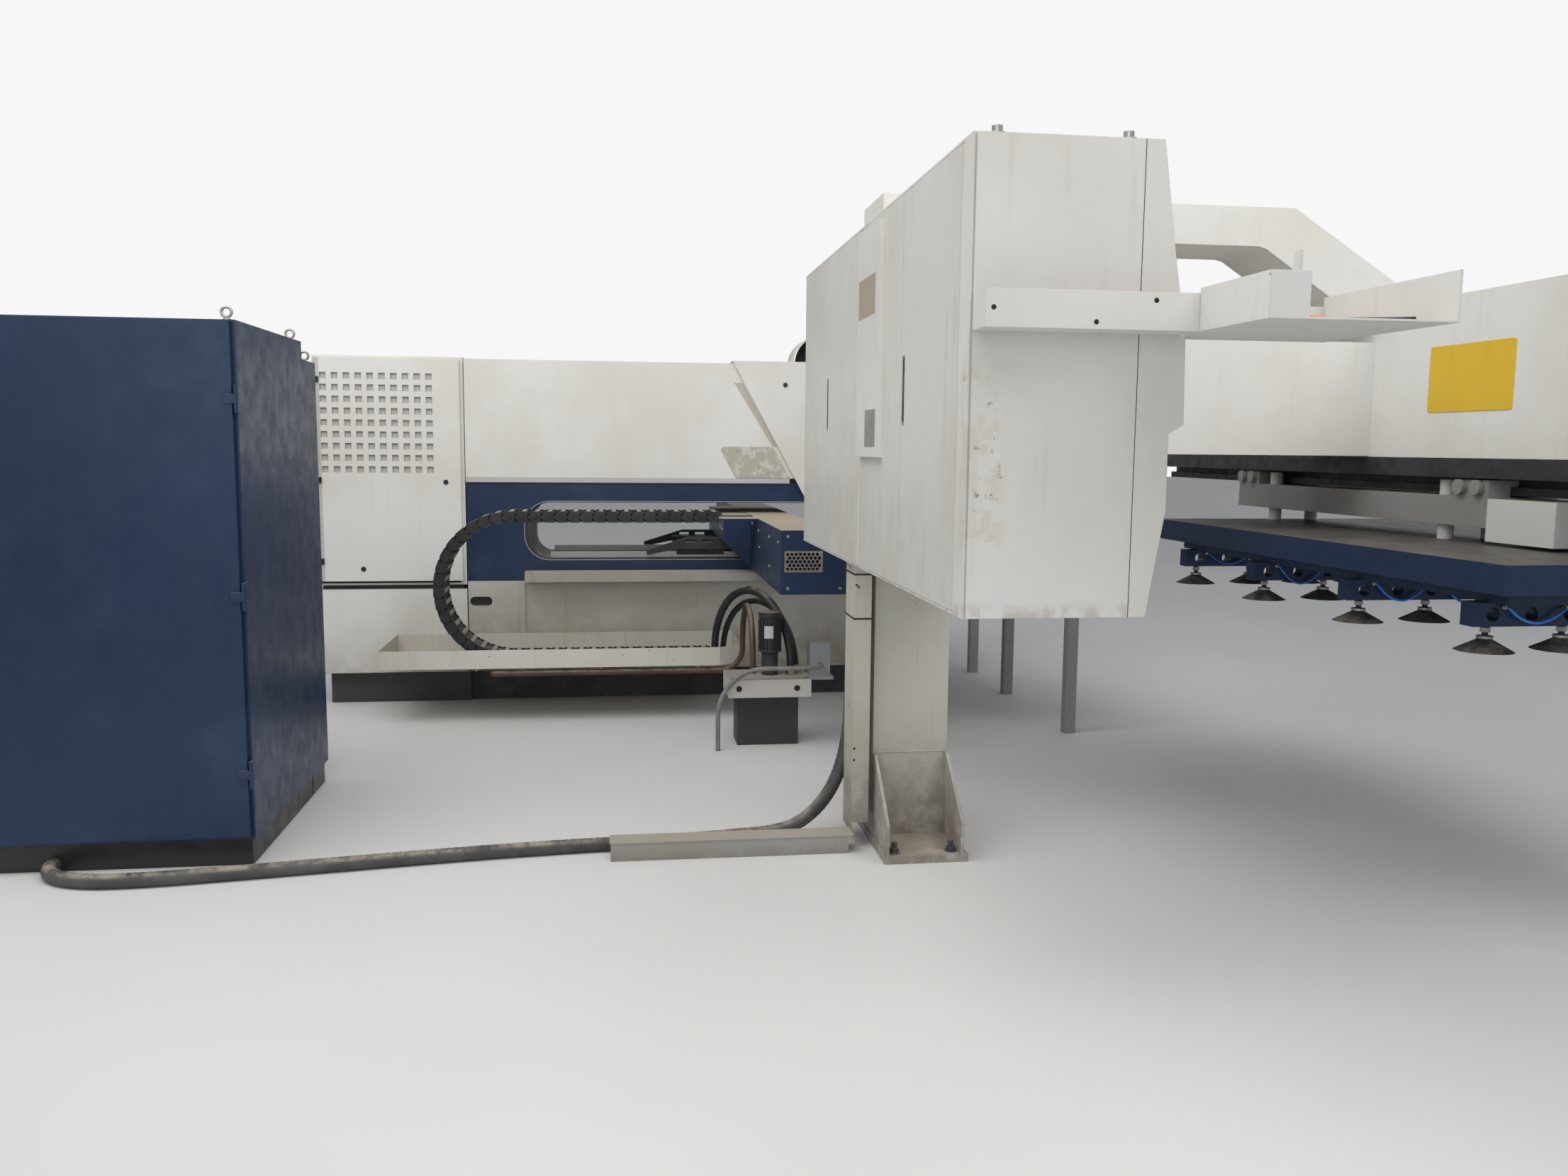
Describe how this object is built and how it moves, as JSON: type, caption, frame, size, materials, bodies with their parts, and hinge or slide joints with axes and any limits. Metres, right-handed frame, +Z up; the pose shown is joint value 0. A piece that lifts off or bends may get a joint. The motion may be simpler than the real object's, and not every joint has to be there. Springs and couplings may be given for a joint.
{
  "type": "cnc turret punch press",
  "caption": "C-frame sheet metal punch press with a cross rail, energy chain, electrical cabinets and a beam-mounted suction loader.",
  "frame": {"origin": "on the floor, straight below the punch axis, at the underside of the press's plinth", "axes": "+X from the rear of the C-frame towards its nose, +Y away from the loader side, +Z up along the ram"},
  "size_m": [6.045, 7.17, 2.492],
  "materials": {
    "white_paint": "worn light grey-white workshop enamel",
    "aged_white": "dusty off-white enamel, stained",
    "blue_paint": "dark blue enamel",
    "dark_steel": "dark primed weldment",
    "grey_steel": "grey machine parts",
    "bare_metal": "ground steel",
    "black_plastic": "dusty black",
    "aluminium_trim": "mill finish"
  },
  "bodies": {
    "machine": {"c_frame": "dark_steel", "base_plinth": "dark_steel", "throat_covers": "blue_paint", "upper_cover": "white_paint", "trim_strips": "aluminium_trim", "head_cover": "white_paint", "lower_panels": "aged_white", "guide_ledge": "aged_white", "guide_rails": "grey_steel", "vent_hood": "dark_steel", "power_cabinet": "white_paint", "power_base": "white_paint", "power_hinges": "black_plastic", "blue_cabinet": "blue_paint", "blue_cabinet_rear": "blue_paint", "lifting_eyes": "bare_metal", "raised_cabinet": "white_paint", "rear_housing": "white_paint", "column": "aged_white", "column_base": "aged_white", "anchor_bolts": "dark_steel", "cable_channel": "aged_white", "floor_duct": "grey_steel", "cable_tray": "white_paint", "cable_pan": "white_paint", "bridge_arm": "white_paint", "cross_member": "white_paint", "loader_beam": "white_paint", "beam_rail": "black_plastic", "chain_tray": "aged_white", "sheet_table": "grey_steel", "drive_unit": "grey_steel", "base_hoses": "black_plastic", "floor_hose": "grey_steel"},
    "vented_door": {"vented_door": "white_paint"},
    "upper_lock": {"upper_lock": "black_plastic"},
    "lower_lock": {"lower_lock": "black_plastic"},
    "blue_door": {"blue_door": "blue_paint"},
    "blue_handle": {"blue_handle": "black_plastic"},
    "raised_door_1": {"raised_door_1": "white_paint"},
    "near_handle": {"near_handle": "black_plastic"},
    "raised_door_2": {"raised_door_2": "white_paint", "door_cover_plate": "white_paint"},
    "raised_door_3": {"raised_door_3": "white_paint"},
    "raised_door_4": {"raised_door_4": "white_paint"},
    "far_handle": {"far_handle": "black_plastic"},
    "cross_rail": {"cross_rail": "blue_paint", "rail_grille": "black_plastic", "rail_saddle": "black_plastic", "energy_chain": "black_plastic"},
    "sheet_carriage": {"clamp_bar": "bare_metal", "tool_cassettes": "blue_paint"},
    "clamp_jaws": {"clamp_jaws": "dark_steel"},
    "ram": {"punch_ram": "bare_metal"},
    "tool_adapter": {"tool_adapter": "grey_steel"},
    "die_adapter": {"die_adapter": "grey_steel"},
    "loader_carriage": {"loader_carriage": "grey_steel"},
    "suction_lift": {"suction_frame": "blue_paint", "suction_arms": "blue_paint", "suction_cups": "black_plastic"}
  },
  "joints": [
    {"name": "vented_door_swing", "type": "hinge", "parent": "machine", "child": "vented_door", "pos_m": [-3.341, -0.347, 1.39], "axis": [0, 0, -1], "range_deg": [0, 105]},
    {"name": "upper_lock_turn", "type": "hinge", "parent": "vented_door", "child": "upper_lock", "pos_m": [-2.597, -0.345, 1.325], "axis": [0, -1, 0], "range_deg": [0, 90]},
    {"name": "lower_lock_turn", "type": "hinge", "parent": "vented_door", "child": "lower_lock", "pos_m": [-3.079, -0.345, 0.813], "axis": [0, -1, 0], "range_deg": [0, 90]},
    {"name": "blue_door_swing", "type": "hinge", "parent": "machine", "child": "blue_door", "pos_m": [-2.929, -3.232, 1], "axis": [0, 0, 1], "range_deg": [0, 110]},
    {"name": "blue_handle_turn", "type": "hinge", "parent": "blue_door", "child": "blue_handle", "pos_m": [-3.81, -3.24, 1.05], "axis": [0, -1, 0], "range_deg": [0, 90]},
    {"name": "raised_door_1_swing", "type": "hinge", "parent": "machine", "child": "raised_door_1", "pos_m": [-0.7475, -4.756, 1.7], "axis": [0, 0, 1], "range_deg": [0, 95]},
    {"name": "near_handle_swing", "type": "hinge", "parent": "raised_door_1", "child": "near_handle", "pos_m": [-0.753, -4.16925, 1.632], "axis": [0, -1, 0], "range_deg": [0, 40]},
    {"name": "raised_door_2_swing", "type": "hinge", "parent": "machine", "child": "raised_door_2", "pos_m": [-0.7475, -3.5265, 1.7], "axis": [0, 0, -1], "range_deg": [0, 72]},
    {"name": "raised_door_3_swing", "type": "hinge", "parent": "machine", "child": "raised_door_3", "pos_m": [-0.7475, -3.4985, 1.7], "axis": [0, 0, 1], "range_deg": [0, 72]},
    {"name": "raised_door_4_swing", "type": "hinge", "parent": "machine", "child": "raised_door_4", "pos_m": [-0.7475, -2.269, 1.7], "axis": [0, 0, -1], "range_deg": [0, 95]},
    {"name": "far_handle_swing", "type": "hinge", "parent": "raised_door_4", "child": "far_handle", "pos_m": [-0.753, -2.85575, 1.632], "axis": [0, -1, 0], "range_deg": [0, 40]},
    {"name": "cross_rail_slide", "type": "slide", "parent": "machine", "child": "cross_rail", "axis": [1, 0, 0], "range_m": [-0.81, 0.28], "deforming": ["energy_chain"]},
    {"name": "sheet_carriage_slide", "type": "slide", "parent": "cross_rail", "child": "sheet_carriage", "axis": [0, 1, 0], "range_m": [-0.85, 1.15]},
    {"name": "clamp_jaw_grip", "type": "hinge", "parent": "sheet_carriage", "child": "clamp_jaws", "pos_m": [-0.46, 0, 0.965], "axis": [0, -1, 0], "range_deg": [0, 15]},
    {"name": "ram_stroke", "type": "slide", "parent": "machine", "child": "ram", "axis": [0, 0, 1], "range_m": [-0.03, 0]},
    {"name": "tool_adapter_turn", "type": "hinge", "parent": "ram", "child": "tool_adapter", "pos_m": [0, 0, 1], "axis": [0, 0, 1], "continuous": true},
    {"name": "die_adapter_turn", "type": "hinge", "parent": "machine", "child": "die_adapter", "pos_m": [0, 0, 0.87], "axis": [0, 0, 1], "continuous": true},
    {"name": "loader_travel", "type": "slide", "parent": "machine", "child": "loader_carriage", "axis": [0, 1, 0], "range_m": [-1, 0.9]},
    {"name": "suction_lift", "type": "slide", "parent": "loader_carriage", "child": "suction_lift", "axis": [0, 0, 1], "range_m": [-0.13, 0]}
  ],
  "couplings": [
    {"joint": "tool_adapter_turn", "follows": "die_adapter_turn", "ratio": 1}
  ]
}
